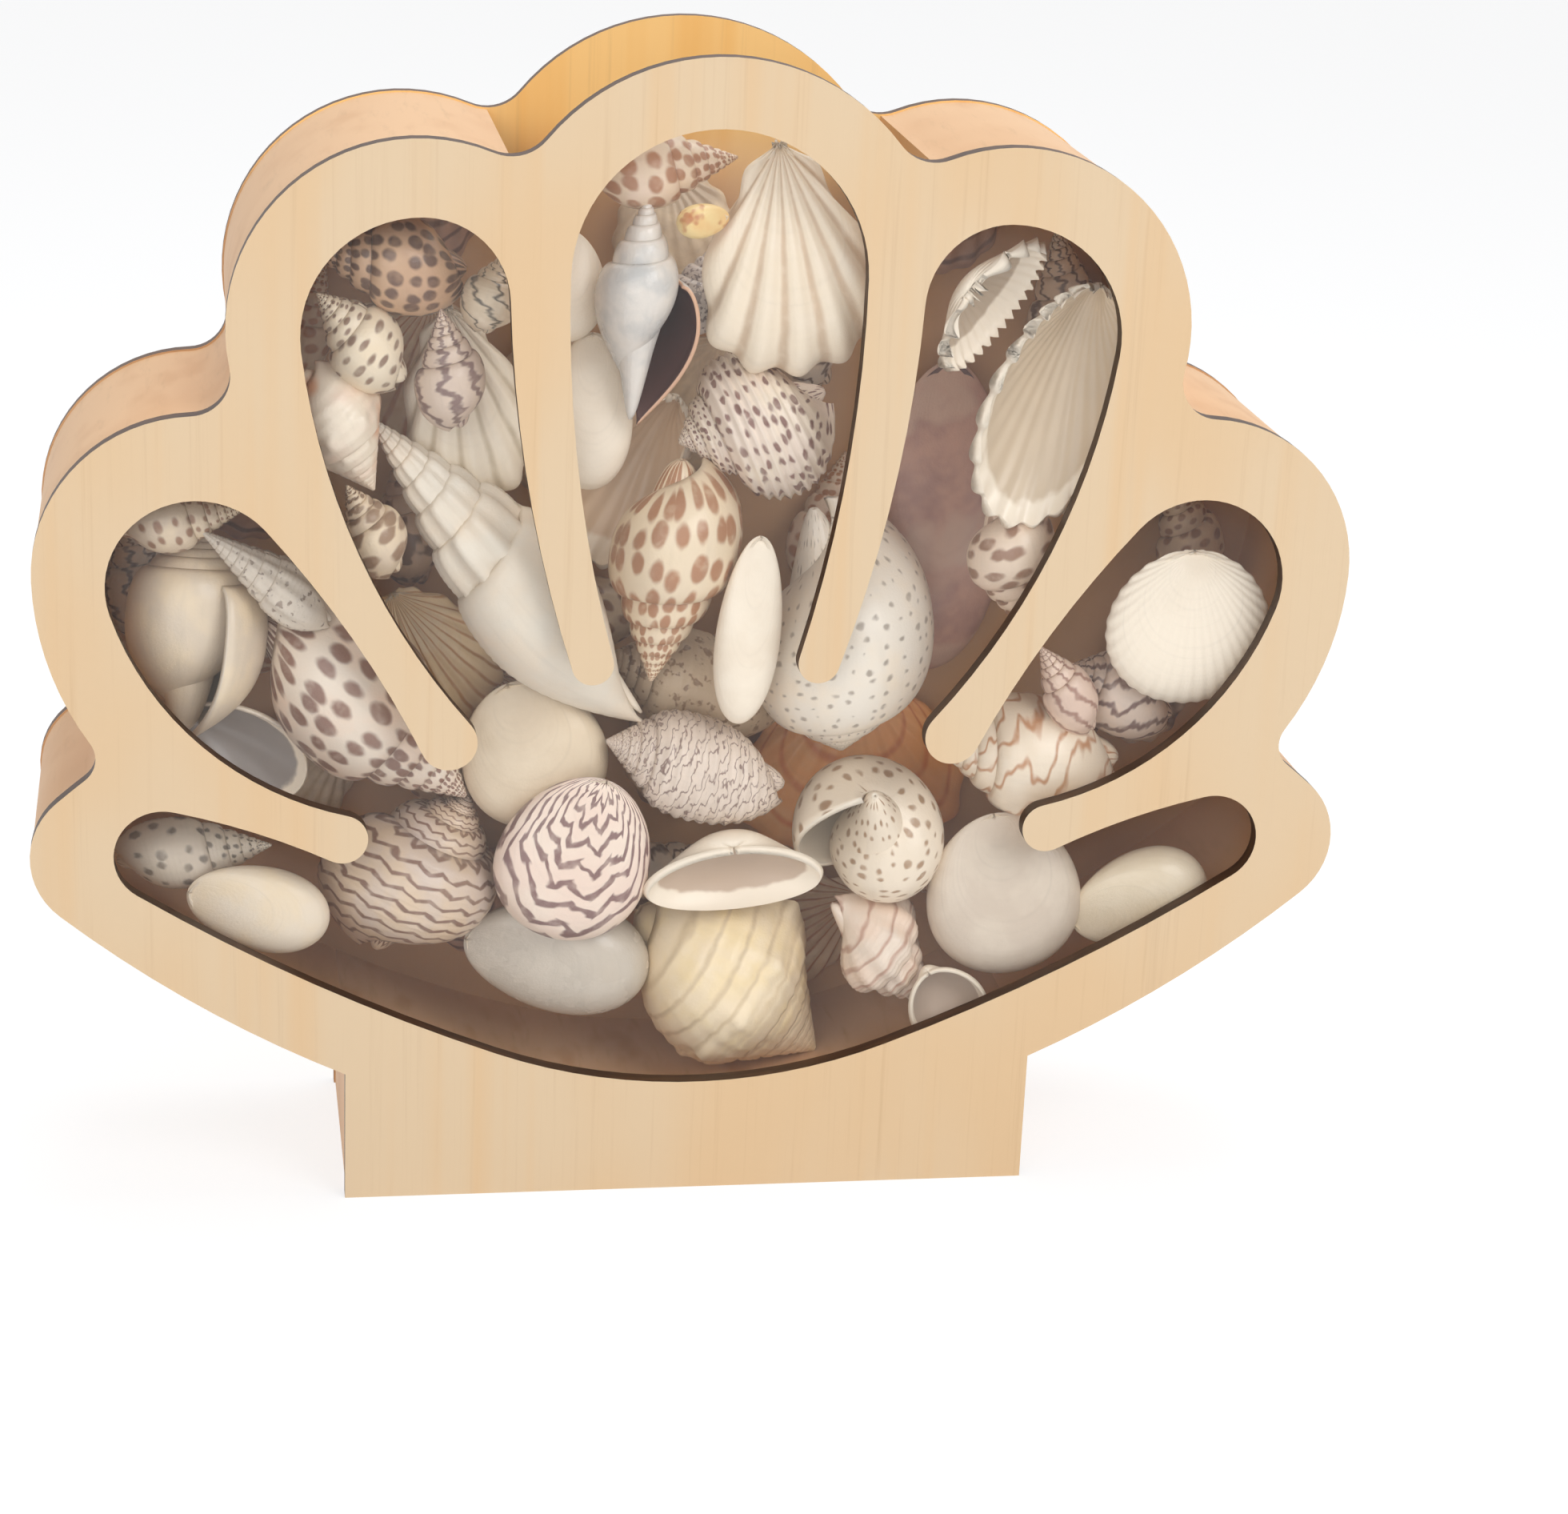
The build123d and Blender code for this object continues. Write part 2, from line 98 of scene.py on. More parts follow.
class Shader:
    """A material whose nodes are added one by one, each linked to the ones before it."""

    def __init__(self, name):
        self.material = bpy.data.materials.new(name)
        self.material.use_nodes = True
        self.tree = self.material.node_tree
        self.surface = self.tree.nodes["Principled BSDF"]

    def set(self, target, values):
        for key, value in values.items():
            if isinstance(value, bpy.types.NodeSocket):
                self.tree.links.new(value, target.inputs[key])
            else:
                target.inputs[key].default_value = value

    def node(self, kind, values=None, **settings):
        made = self.tree.nodes.new("ShaderNode" + kind)
        for key, value in settings.items():
            setattr(made, key, value)
        self.set(made, values or {})
        return made

    def finish(self, values, bump=None, bump_depth=0.0):
        """Sets the surface's own values, and its bump as a height and a depth in millimetres."""
        self.set(self.surface, values)
        if bump is not None:
            raised = self.node("Bump", {"Height": bump, "Distance": bump_depth * mm})
            self.set(self.surface, {"Normal": raised.outputs["Normal"]})
        return self.material

    def place(self):
        return self.node("TexCoord").outputs["Object"]

    def grid(self):
        return self.node("TexCoord").outputs["UV"]

    def facing(self):
        """The direction that the face itself turns to."""
        return self.node("NewGeometry").outputs["True Normal"]

    def stretched(self, vector, scale):
        return self.node("Mapping", {"Vector": vector, "Scale": scale}).outputs["Vector"]

    def parts(self, vector):
        """The X, Y and Z of a vector, each as an output."""
        return self.node("SeparateXYZ", {0: vector}).outputs

    def noise(self, vector, scale=1.0, detail=3.0, roughness=0.5):
        values = {"Vector": vector, "Scale": scale, "Detail": detail, "Roughness": roughness}
        return self.node("TexNoise", values).outputs["Fac"]

    def maths(self, operation, first, second=0.0, third=0.0):
        return self.node("Math", {0: first, 1: second, 2: third}, operation=operation).outputs[0]

    def step(self, value, low, high):
        """0 below low, 1 above high and smooth between them."""
        values = {"Value": value, "From Min": low, "From Max": high}
        return self.node("MapRange", values, interpolation_type="SMOOTHSTEP").outputs["Result"]

    def mix(self, share, first, second):
        made = self.node("Mix", data_type="RGBA")
        self.set(made, {mix_share: share, mix_first: first, mix_second: second})
        return made.outputs[mix_result]


# ---------------------------------------------------------------- wood and window
# Scales of the noises, along X, Y and Z: each wood runs upright
fibre_scale = (420, 60, 7)
streak_scale = (95, 40, 3.2)
cloud_scale = (16, 16, 9)
soot_scale = (70, 500, 70)
pore_share = 0.30
pore_colour = linear(190, 150, 104)
# Burnt edges, and the seam line on the band, which is scorch and painted shadow
scorch_and_seam_shadow = linear(58, 36, 20)
scorch_pale = linear(84, 54, 32)
fibre_depth = 0.05
# Painted shade: the back panel's inner face darkens below the first height and fades in over the second,
# in millimetres
painted_shade_top, painted_shade_fade = 246, 26
painted_shade_share = 0.85
# A dark line along the band's front edge, where it meets the front board: scorch and painted shadow, full
# for the first seam_start millimetres and gone by seam_end
seam_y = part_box("left_side_band")[0].y / mm
seam_start, seam_end = 0.7, 1.3


def scorched(paint, colour, edge):
    """The colour with burnt edges: every face that turns away from the front and the back."""
    turned = paint.maths("ABSOLUTE", paint.parts(paint.facing())["Y"])
    soot = paint.noise(paint.stretched(paint.place(), soot_scale), 1.0, 3.0)
    burnt = paint.mix(paint.step(soot, 0.35, 0.75), edge, scorch_pale)
    return paint.mix(paint.step(turned, 0.75, 0.45), colour, burnt)


def add_painted_shade(paint, colour, painted_shade_colour):
    """The colour with painted shade on its inner face, darker below the open slot."""
    inner = paint.step(paint.parts(paint.facing())["Y"], -0.4, -0.8)
    height = paint.parts(paint.place())["Z"]
    low = paint.step(height, painted_shade_top * mm, (painted_shade_top - painted_shade_fade) * mm)
    share = paint.maths("MULTIPLY", paint.maths("MULTIPLY", inner, low), painted_shade_share)
    return paint.mix(share, colour, painted_shade_colour)


def scorch_and_shadow_seam(paint, colour):
    """The colour with a dark line where the band meets the front board: its scorched edge and painted
    shadow from the board.
    """
    depth = paint.parts(paint.place())["Y"]
    seam_scorch_and_shadow = paint.step(depth, (seam_y + seam_end) * mm, (seam_y + seam_start) * mm)
    return paint.mix(seam_scorch_and_shadow, colour, scorch_and_seam_shadow)


def wood(name, pale, warm, edge=None, painted_shade_colour=None, seam=False, gloss=0.5):
    """Pale veneer with a fine upright grain.

    edge is the colour of its burnt edges, if it has them; the inner face may take a colour of painted
    shade, and the seam a line of scorch and painted shadow.
    """
    paint = Shader(name)
    place = paint.place()
    fibres = paint.noise(paint.stretched(place, fibre_scale), 1.0, 4.0, 0.65)
    streaks = paint.noise(paint.stretched(place, streak_scale), 1.0, 2.0)
    clouds = paint.noise(paint.stretched(place, cloud_scale), 1.0, 2.0)
    colour = paint.mix(paint.step(clouds, 0.46, 0.70), pale, warm)
    colour = paint.mix(paint.step(streaks, 0.50, 0.75), colour, warm)
    pores = paint.maths("MULTIPLY", paint.step(fibres, 0.52, 0.80), pore_share)
    colour = paint.mix(pores, colour, pore_colour)
    if edge is not None:
        colour = scorched(paint, colour, edge)
    # Painted shade on the inner face, darker towards the bottom of the case
    if painted_shade_colour is not None:
        colour = add_painted_shade(paint, colour, painted_shade_colour)
    # Scorch and painted shadow where the band meets the front board
    if seam:
        colour = scorch_and_shadow_seam(paint, colour)
    return paint.finish({"Base Color": colour, "Roughness": gloss}, fibres, fibre_depth)


haze_fineness, haze_least, haze_range = 14.0, 0.01, 0.03
sheet_colour = (0.92, 0.94, 0.95, 1)
sheet_gloss = 0.06


def window_material():
    """Clear plastic sheet: nearly all light goes through, and a soft gloss stays on it."""
    paint = Shader("clear_plastic")
    haze = paint.noise(paint.place(), haze_fineness, 2.0)
    alpha = paint.maths("MULTIPLY_ADD", haze, haze_range, haze_least)
    return paint.finish({"Base Color": sheet_colour, "Roughness": sheet_gloss, "Alpha": alpha})


def dress_case():
    """Gives the case's own CAD nodes their wood and their clear sheet."""
    board = wood("front_veneer", linear(227, 201, 166), linear(228, 195, 153), edge=scorch_and_seam_shadow)
    # The band carries the dark seam line at the front board, scorch and painted shadow
    strip = wood("bent_band", linear(236, 192, 146), linear(226, 178, 130), seam=True)
    orange = wood(
        "back_veneer",
        linear(255, 208, 134),
        linear(250, 194, 112),
        edge=linear(84, 58, 38),
        # The colour of the painted shade on the back panel's inner face
        painted_shade_colour=linear(204, 160, 122),
    )
    floor = wood("floor_veneer", linear(236, 196, 156), linear(222, 176, 134), gloss=0.25)
    finishes = {
        "front_panel": board,
        "back_panel": orange,
        "clear_window": window_material(),
        "left_side_band": strip,
        "right_side_band": strip,
        "floor_strip": floor,
        "left_foot_wall": strip,
        "right_foot_wall": strip,
    }
    for name, material in finishes.items():
        nodes[name].data.materials.clear()
        nodes[name].data.materials.append(material)


# ---------------------------------------------------------------- shell meshes
merge_distance = 0.004
shortest_normal = 1e-9


def grid_normals(points):
    """Unit normals of a grid of points, from the differences along its rows and columns."""
    across = np.cross(np.gradient(points, axis=0), np.gradient(points, axis=1))
    length = np.linalg.norm(across, axis=2, keepdims=True)
    return across / np.maximum(length, shortest_normal)


def closed_sheet(outer, inner, marks):
    """Two grids of points joined at their rims: vertices, faces, UVs and the side of each face.

    Side 0 is the outer surface, 1 the inner one and 2 the rim between them.
    """
    rows, columns = outer.shape[:2]
    count = rows * columns
    number = np.arange(count).reshape(rows, columns)
    quads = np.stack(
        [number[:-1, :-1], number[1:, :-1], number[1:, 1:], number[:-1, 1:]], axis=-1
    ).reshape(-1, 4)
    border = np.concatenate(
        [number[0, :], number[1:, -1], number[-1, -2::-1], number[-2:0:-1, 0], number[0, :1]]
    )
    rim = np.stack([border[:-1], border[1:], border[1:] + count, border[:-1] + count], axis=-1)
    faces = np.concatenate([quads, quads[:, ::-1] + count, rim])
    sides = np.concatenate([np.full(len(quads), 0), np.full(len(quads), 1), np.full(len(rim), 2)])
    vertices = np.concatenate([outer.reshape(-1, 3), inner.reshape(-1, 3)])
    uvs = np.concatenate([marks.reshape(-1, 2), marks.reshape(-1, 2)])
    return vertices, faces, uvs, sides


def make_mesh(name, sheets):
    """One smooth mesh from closed sheets, in the shell's own frame, with doubled points merged."""
    starts = np.cumsum([0] + [len(sheet[0]) for sheet in sheets[:-1]])
    vertices = np.concatenate([sheet[0] for sheet in sheets])
    faces = np.concatenate([sheet[1] + start for sheet, start in zip(sheets, starts)])
    uvs = np.concatenate([sheet[2] for sheet in sheets])
    sides = np.concatenate([sheet[3] for sheet in sheets])
    mesh = bpy.data.meshes.new(name)
    mesh.from_pydata(vertices.tolist(), [], faces.tolist())
    mesh.polygons.foreach_set("material_index", sides)
    mesh.shade_smooth()
    mesh.uv_layers.new(name="grid").data.foreach_set("uv", uvs[faces].ravel())
    grown = bmesh.new()
    grown.from_mesh(mesh)
    bmesh.ops.remove_doubles(grown, verts=grown.verts, dist=merge_distance)
    bmesh.ops.recalc_face_normals(grown, faces=grown.faces)
    grown.to_mesh(mesh)
    grown.free()
    return mesh


class Form:
    """The whorl of a coiled shell, as shares of its own length and width.

    growth is how much it widens in a turn, widest where along it the whorl is widest, shoulder
    and base how round it is above and below that, draw how far the base draws in to the canal.
    """

    def __init__(self, growth, widest, shoulder, base, draw, canal):
        self.growth, self.widest, self.shoulder = growth, widest, shoulder
        self.base, self.draw, self.canal = base, draw, canal
        self.suture = 0.0

    def seat_suture(self, spire):
        """Starts each whorl on the surface of the one before it."""
        covered = spire * (self.growth - 1) / (1 - spire)
        if covered > self.widest:
            self.suture = float(self.fall(np.array(covered))) / self.growth
        else:
            rise = float(self.rise(np.array(covered)))
            self.suture = rise / (self.growth - 1 + rise)
        return covered

    def rise(self, share):
        above = np.clip(share / self.widest, 0, 1)
        return (1 - (1 - above) ** self.shoulder) ** (1 / self.shoulder)

    def fall(self, share):
        below = np.clip((share - self.widest) / (1 - self.widest), 0, 1)
        return self.canal + (1 - self.canal) * (1 - below**self.base) ** self.draw

    def radius(self, share):
        rise = self.suture + (1 - self.suture) * self.rise(share)
        return np.where(share < self.widest, rise, self.fall(share))


forms = {
    "snail": (1.42, 0.34, 2.0, 2.6, 0.8, 0.30),
    "whelk": (1.50, 0.30, 1.9, 1.9, 1.15, 0.14),
    "barrel": (1.30, 0.34, 2.0, 2.6, 0.9, 0.24),
    "turban": (1.75, 0.42, 2.0, 2.4, 0.75, 0.16),
    "spindle": (1.36, 0.32, 2.0, 1.8, 1.0, 0.08),
    "cerith": (1.24, 0.42, 2.0, 2.0, 0.9, 0.2),
}
# The last turns are whole whorls, and the ones before them only bands, as the rest is covered
full_turns = 1.5
smallest_growth = 0.03
turn_steps = 60
early_steps_share = 0.7
share_steps = 44
share_crowding = 1.15
band_steps = 14
band_overlap = 1.12
wall_share = 0.07
wall_most = 1.1
lip_reach = 0.35
rib_fade = 1.15
shoulder_at = 0.8
shoulder_reach = 0.10
pillar_share = 0.56
pillar_start = 0.14
pillar_end = 0.98
pillar_taper = 1.4
pillar_tip = 0.99
pillar_fold = 0.05
pillar_twist = 9
pillar_core = (1, 0.2, 0.2)


def relief(form, share, angle, cords=(0, 0), ribs=(0, 0), knobs=(0, 0), smooth_turns=-1.0):
    """How far spiral cords, upright ribs and shoulder knobs stand out, as a share of the radius.

    Ribs and knobs fade out over the turn that ends smooth_turns before the mouth.
    """
    raised = cords[1] * np.cos(tau * cords[0] * share)
    older = np.clip(-angle / tau - smooth_turns, 0, 1)
    fading = np.clip(rib_fade - share, 0, 1) * older
    raised = raised + ribs[1] * fading * np.cos(ribs[0] * angle)
    shoulder = np.exp(-(((share - form.widest * shoulder_at) / shoulder_reach) ** 2)) * older
    return raised + knobs[1] * shoulder * np.maximum(np.cos(knobs[0] * angle), 0) ** 2


def whorl_sheet(form, length, width, spire, angles, shares, roll, lip, bumps):
    """A stretch of the coiled surface: rows go along the turns, columns from suture to canal."""
    angle, share = np.meshgrid(angles, shares, indexing="ij")
    grown = form.growth ** (angle / tau)
    first = spire * length
    down = grown * (first + share * (length - first))
    flare = 1 + lip * np.exp(-((angle / lip_reach) ** 2))
    size = grown * width / 2 * form.radius(share) * flare * (1 + relief(form, share, angle, **bumps))
    turned = pi - angle + roll
    outer = np.stack([-down, size * np.cos(turned), size * np.sin(turned)], axis=-1)
    wall = np.minimum(wall_share * width / 2 * grown, wall_most)[..., None]
    away = grid_normals(outer)
    radial = np.stack([np.zeros_like(size), np.cos(turned), np.sin(turned)], axis=-1)
    sign = np.where((away * radial).sum(axis=2, keepdims=True) < 0, -1.0, 1.0)
    inner = outer - away * sign * wall
    marks = np.stack([angle / tau, share], axis=-1)
    return closed_sheet(outer, inner, marks)


def columella(form, length, width, spire, roll):
    """The pillar in the middle of a coiled shell, from under the spire down to the canal."""
    angle, down = np.meshgrid(np.linspace(0, tau, 33), np.linspace(0, pillar_tip, 22), indexing="ij")
    share = spire + pillar_start + (pillar_end - pillar_start - spire) * down
    stout = form.canal + (pillar_share - form.canal) * (1 - down) ** pillar_taper
    fold = 1 + pillar_fold * np.cos(angle - pillar_twist * share + roll)
    size = width / 2 * stout * np.sqrt(1 - down**6) * fold
    outer = np.stack([-share * length, size * np.cos(angle), size * np.sin(angle)], axis=-1)
    inner = outer * np.array(pillar_core)
    return closed_sheet(outer, inner, np.stack([angle / tau, share], axis=-1))


def coiled_mesh(name, form_name, length, width, spire, roll, lip, bumps):
    """A snail shell with its apex towards +X and its mouth turned by roll from the viewer."""
    form = Form(*forms[form_name])
    first = spire * form.growth**0.5
    covered = form.seat_suture(first)
    turns = log(smallest_growth) / log(form.growth)
    full = np.linspace(-full_turns * tau, 0, int(full_turns * turn_steps))
    early_steps = int((-turns - full_turns) * turn_steps * early_steps_share)
    early = np.linspace(turns * tau, -full_turns * tau, early_steps)
    whole = np.linspace(0, 1, share_steps) ** share_crowding
    band = np.linspace(0, min(covered * band_overlap, 1), band_steps)
    turned = radians(roll)
    sheets = [
        whorl_sheet(form, length, width, first, full, whole, turned, lip, bumps),
        whorl_sheet(form, length, width, first, early, band, turned, 0.0, bumps),
        columella(form, length, width, spire, turned),
    ]
    return make_mesh(name, sheets)


# Numbers of a valve: the rays of its margin, the growth lines between beak and margin, the
# angle that the beak takes from its rays, and how its thickness, ribs and lip come up with size
ray_steps = 176
growth_steps = 44
first_growth = 0.012
beak_angle = 0.015
fan_set = 0.02
bowl_curl = 2.31
dome_rise = 1.93
dome_round = 2.4
crimp_onset = 9
twist_onset = 12
lip_onset = 14
thinnest, thickening = 0.2, 3
bead_base, bead_swing = 0.55, 0.45


def valve_sheet(length, width, height, taper, ribs, rib_depth, wall, crimp=0.0, lip=0.0, plump=False):
    """One valve on the plane z = 0, its beak at the origin and its dome towards +Z.

    A plump valve meets the plane at a right angle, and the others as a shallow bowl.
    """
    turn = np.linspace(beak_angle, tau - beak_angle, ray_steps)
    grown = np.sin(np.linspace(first_growth, pi / 2, growth_steps))
    ray, size = np.meshgrid(turn, grown, indexing="ij")
    along = -length / 2 * (1 - np.cos(ray))
    across = width / 2 * np.sin(ray) * (1 - taper * np.cos(ray))
    fan = np.arctan2(across, -along + fan_set * length) / pi
    if plump:
        round_off = np.sqrt(np.clip(1 - size**dome_round, 0, 1))
        rise = dome_rise * height / length * size * round_off
        outer = np.stack([size * along, size * across, -along * rise], axis=-1)
    else:
        lift = -bowl_curl * height / length * np.log(size)
        outer = np.stack(
            [size * along * np.cos(lift), size * across, -size * along * np.sin(lift)], axis=-1
        )
    away = grid_normals(outer)
    away *= np.where(away[..., 2:].mean() < 0, -1.0, 1.0)
    waves = np.cos(tau * ribs * fan)
    outer = outer + away * (rib_depth * waves * size)[..., None]
    outer[..., 0] -= waves * crimp * size**crimp_onset * np.cos(fan * pi)
    outer[..., 1] += waves * crimp * size**crimp_onset * np.sin(fan * pi)
    outer[..., 2] += np.sin(tau * ribs * fan) * crimp * size**twist_onset
    beads = lip * size**lip_onset * (bead_base + bead_swing * waves)
    thick = wall * np.clip(size * thickening, thinnest, 1) + beads
    inner = outer - away * thick[..., None]
    return closed_sheet(outer, inner, np.stack([fan, size], axis=-1))


def flipped(sheet):
    """The same sheet mirrored through the plane z = 0."""
    vertices, faces, uvs, sides = sheet
    return vertices * np.array([1, 1, -1]), faces[:, ::-1], uvs, sides


# ---------------------------------------------------------------- shell colours
white = (246, 239, 228)
chalk = (252, 247, 238)
cream = (242, 229, 206)
pale_grey = (212, 206, 200)
blue_grey = (198, 204, 212)
rosy_white = (244, 226, 214)
brown = (160, 112, 82)
dark_brown = (98, 64, 48)
orange_brown = (190, 130, 90)
purple_brown = (122, 92, 90)
peach = (230, 190, 164)
# Painted warm light, standing in for light reflected from the wood around the shells, as shares of red,
# green and blue
painted_wood_light = (1.0, 0.965, 0.915)


def shell_colour(colour, shade=1.0):
    """A colour of a shell with painted warm light from the wood, darkened to shade of it."""
    return linear(*[value * share * shade for value, share in zip(colour, painted_wood_light)])


# Where each pattern fades in and out, as the distance from the middle of a spot or stripe
spot_outside, spot_inside = 0.34, 0.14
stripe_outside, stripe_inside = -0.04, 0.14
zigzag_outside, zigzag_inside = -0.02, 0.12
spot_shake = 2.2
spot_unevenness = 0.5
zigzag_shake = 9
zigzag_drift = 0.35
# The noise that a speck stands above: for no specks, its fall to all over, and its fade
speck_edge, speck_fall, speck_fade = 0.72, 0.36, 0.10


def spots(paint, across, along, size=0.34, wobble=0.14, loose=0.5):
    """Rows of rounded spots: across counts them round a turn and along down the whorl.

    size is a spot's reach in its cell, wobble how far it is shaken and loose how far it strays.
    """
    grid = paint.stretched(paint.grid(), (across, along, 1))
    shaken = paint.node("TexNoise", {"Vector": grid, "Scale": spot_shake, "Detail": 1.0})
    moved = paint.node("VectorMath", {0: shaken.outputs["Color"], 3: wobble}, operation="SCALE")
    cells = paint.node("VectorMath", {0: grid, 1: moved.outputs[0]}, operation="ADD")
    values = {"Vector": cells.outputs[0], "Scale": 1.0, "Randomness": loose}
    spread = paint.node("TexVoronoi", values, voronoi_dimensions="2D")
    uneven = paint.noise(grid, 0.7, 1.0)
    reach = paint.maths("MULTIPLY_ADD", uneven, spot_unevenness, spread.outputs["Distance"])
    return paint.step(reach, size + spot_outside, size + spot_inside)


def waves(paint, across, along, wobble, width=0.5, ripple=5.0):
    """Wavy stripes: across counts them round a turn and along down the whorl.

    width is a stripe's share of its step, wobble how far it sways and ripple how often.
    """
    grid = paint.grid()
    parts = paint.parts(grid)
    rounds = paint.maths("MULTIPLY", parts["X"], across)
    count = paint.maths("MULTIPLY_ADD", parts["Y"], along, rounds)
    shaken = paint.noise(paint.stretched(grid, (ripple, ripple, 1)), 1.0, 2.0)
    count = paint.maths("MULTIPLY_ADD", shaken, wobble, count)
    height = paint.maths("PINGPONG", count, 0.5)
    edge = (1 - width) / 2
    return paint.step(height, edge + stripe_outside, edge + stripe_inside)


def zigzags(paint, across, along, reach, width=0.42):
    """Zigzag lines, one above the other: across counts their points, along the lines."""
    grid = paint.grid()
    shaken = paint.noise(paint.stretched(grid, (zigzag_shake, zigzag_shake, 1)), 1.0, 2.0)
    parts = paint.parts(grid)
    rounds = paint.maths("MULTIPLY_ADD", parts["X"], across, shaken)
    swing = paint.maths("MULTIPLY", paint.maths("PINGPONG", rounds, 0.5), reach)
    count = paint.maths("MULTIPLY_ADD", parts["Y"], along, swing)
    count = paint.maths("MULTIPLY_ADD", shaken, zigzag_drift, count)
    height = paint.maths("PINGPONG", count, 0.5)
    edge = (1 - width) / 2
    return paint.step(height, edge + zigzag_outside, edge + zigzag_inside)


def specks(paint, fineness, amount):
    """Fine uneven specks, amount from 0 for none to 1 for all over."""
    grains = paint.noise(paint.place(), fineness, 2.0, 0.6)
    edge = speck_edge - speck_fall * amount
    return paint.step(grains, edge, edge + speck_fade)


def plain(paint):
    """No marks."""
    return None


# Fineness of the noises on a shell, in cycles to a metre
cloud_fineness = 85.0
wear_fineness = 320.0
fading_fineness = 60.0
stain_fineness = 38.0
grain_fineness = 1500.0
lining_fineness = 70.0
ragged_fineness = 300.0
# Where each noise starts and ends to show
cloud_step = (0.38, 0.72)
wear_step = (0.22, 0.55)
growth_step = (0.50, 0.80)
stain_step = (0.56, 0.80)
# How strongly the marks, the growth lines and the stains show
least_mark, worn_mark = 0.6, 0.30
dark_mark = 0.82
growth_share, growth_shade, growth_relief = 0.16, 0.8, 0.8
stain_share = 0.22
stain_colour = linear(214, 188, 156)
clouded_gloss = 0.25
shell_coat = 0.15
shell_bump = 0.08
lining_gloss, lining_shade, lining_bump = 0.3, 0.9, 0.1
# The chalky margin starts and ends beyond its share, and is ragged by margin_shake
margin_step = (1.01, 1.05)
margin_shake = 0.06


def shell_material(name, base, shade, mark, pattern, settings, lines, gloss):
    """The outside of a shell: clouded base, marks, growth lines and a satin surface.

    lines stretches the growth lines over the grid: along the turn for a coiled shell and
    away from the beak for a valve.
    """
    paint = Shader(name)
    place = paint.place()
    clouds = paint.noise(place, cloud_fineness, 3.0, 0.6)
    colour = paint.mix(paint.step(clouds, *cloud_step), shell_colour(base), shell_colour(shade))
    marks = pattern(paint, *settings)
    if marks is not None:
        worn = paint.step(paint.noise(place, wear_fineness, 2.0), *wear_step)
        whole = paint.maths("MULTIPLY_ADD", worn, worn_mark, least_mark)
        strength = paint.maths("MULTIPLY", marks, whole)
        fading = paint.noise(place, fading_fineness, 1.0)
        tint = paint.mix(fading, shell_colour(mark), shell_colour(mark, dark_mark))
        colour = paint.mix(strength, colour, tint)
    growth = paint.noise(paint.stretched(paint.grid(), lines), 1.0, 2.0)
    darker = paint.maths("MULTIPLY", paint.step(growth, *growth_step), growth_share)
    colour = paint.mix(darker, colour, shell_colour(base, growth_shade))
    stains = paint.step(paint.noise(place, stain_fineness, 2.0, 0.6), *stain_step)
    stained = paint.maths("MULTIPLY", stains, stain_share)
    colour = paint.mix(stained, colour, stain_colour)
    grain = paint.noise(place, grain_fineness, 2.0)
    height = paint.maths("MULTIPLY_ADD", growth, growth_relief, grain)
    rough = paint.maths("MULTIPLY_ADD", clouds, clouded_gloss, gloss)
    values = {"Base Color": colour, "Roughness": rough, "Coat Weight": shell_coat}
    return paint.finish(values, height, shell_bump)


def lining_material(name, colour, margin=0.0):
    """The smooth inside of a shell, a little clouded, with a chalky margin on some valves."""
    paint = Shader(name)
    clouds = paint.noise(paint.place(), lining_fineness, 2.0)
    tint = paint.mix(clouds, shell_colour(colour), shell_colour(colour, lining_shade))
    if margin:
        ragged = paint.noise(paint.place(), ragged_fineness, 2.0)
        size = paint.maths("MULTIPLY_ADD", ragged, margin_shake, paint.parts(paint.grid())["Y"])
        chalked = paint.step(size, margin_step[0] - margin, margin_step[1] - margin)
        tint = paint.mix(chalked, tint, shell_colour(chalk))
    return paint.finish({"Base Color": tint, "Roughness": lining_gloss}, clouds, lining_bump)


# ---------------------------------------------------------------- the shells
# The reliefs: how many cords, ribs or knobs, and how far each stands out
smooth = {}
corded = {"cords": (15, 0.008)}
ribbed = {"ribs": (11, 0.05), "cords": (14, 0.010)}
beaded = {"ribs": (30, 0.020), "cords": (11, 0.030)}
knobby = {"knobs": (9, 0.10), "ribs": (26, 0.028), "cords": (7, 0.01)}
lumpy = {"knobs": (7, 0.12), "cords": (6, 0.012)}
stepped = {"ribs": (10, 0.085), "cords": (22, 0.008), "smooth_turns": 0.2}

